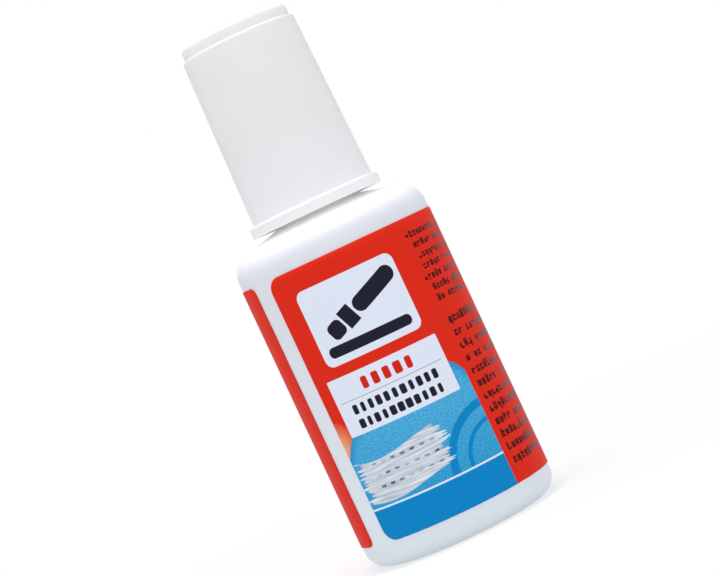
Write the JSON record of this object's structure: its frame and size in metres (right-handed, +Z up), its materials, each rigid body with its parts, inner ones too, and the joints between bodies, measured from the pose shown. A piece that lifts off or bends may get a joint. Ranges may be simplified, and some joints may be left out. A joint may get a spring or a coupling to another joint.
{
  "type": "correction fluid bottle",
  "caption": "Small round white plastic bottle with a wrap label and a tall screw cap that carries the brush reaching into the fluid.",
  "frame": {"origin": "centre of the foot, on the surface that the bottle stands on", "axes": "+Z up along the bottle's axis, out of the neck; the label's front faces -Y"},
  "size_m": [0.0282, 0.0282, 0.0758],
  "materials": {
    "bottle_plastic": "satin",
    "label_film": "printed gloss film",
    "cap_plastic": "satin",
    "closure_plastic": "matt",
    "wiper_plastic": "translucent natural plastic",
    "washer_foam": "soft foam",
    "stem_plastic": "satin",
    "anchor_metal": "bright",
    "bristle_nylon": "translucent nylon",
    "ball_steel": "polished",
    "fluid_white": "wet white"
  },
  "bodies": {
    "bottle": {"bottle": "bottle_plastic", "label": "label_film", "neck_wiper": "wiper_plastic", "mixing_ball": "ball_steel", "correction_fluid": "fluid_white"},
    "seal": {"seal_washer": "washer_foam"},
    "cap": {"cap": "cap_plastic", "screw_closure": "closure_plastic", "brush_stem": "stem_plastic", "brush_bristles": "bristle_nylon", "bristle_anchor": "anchor_metal"}
  },
  "joints": [
    {"name": "cap_lift", "type": "slide", "parent": "bottle", "child": "seal", "axis": [0, 0, 1], "range_m": [0, 0.058]},
    {"name": "cap_turn", "type": "hinge", "parent": "seal", "child": "cap", "pos_m": [0, 0, 0.0598], "axis": [0, 0, 1], "range_deg": [0, 540]}
  ]
}
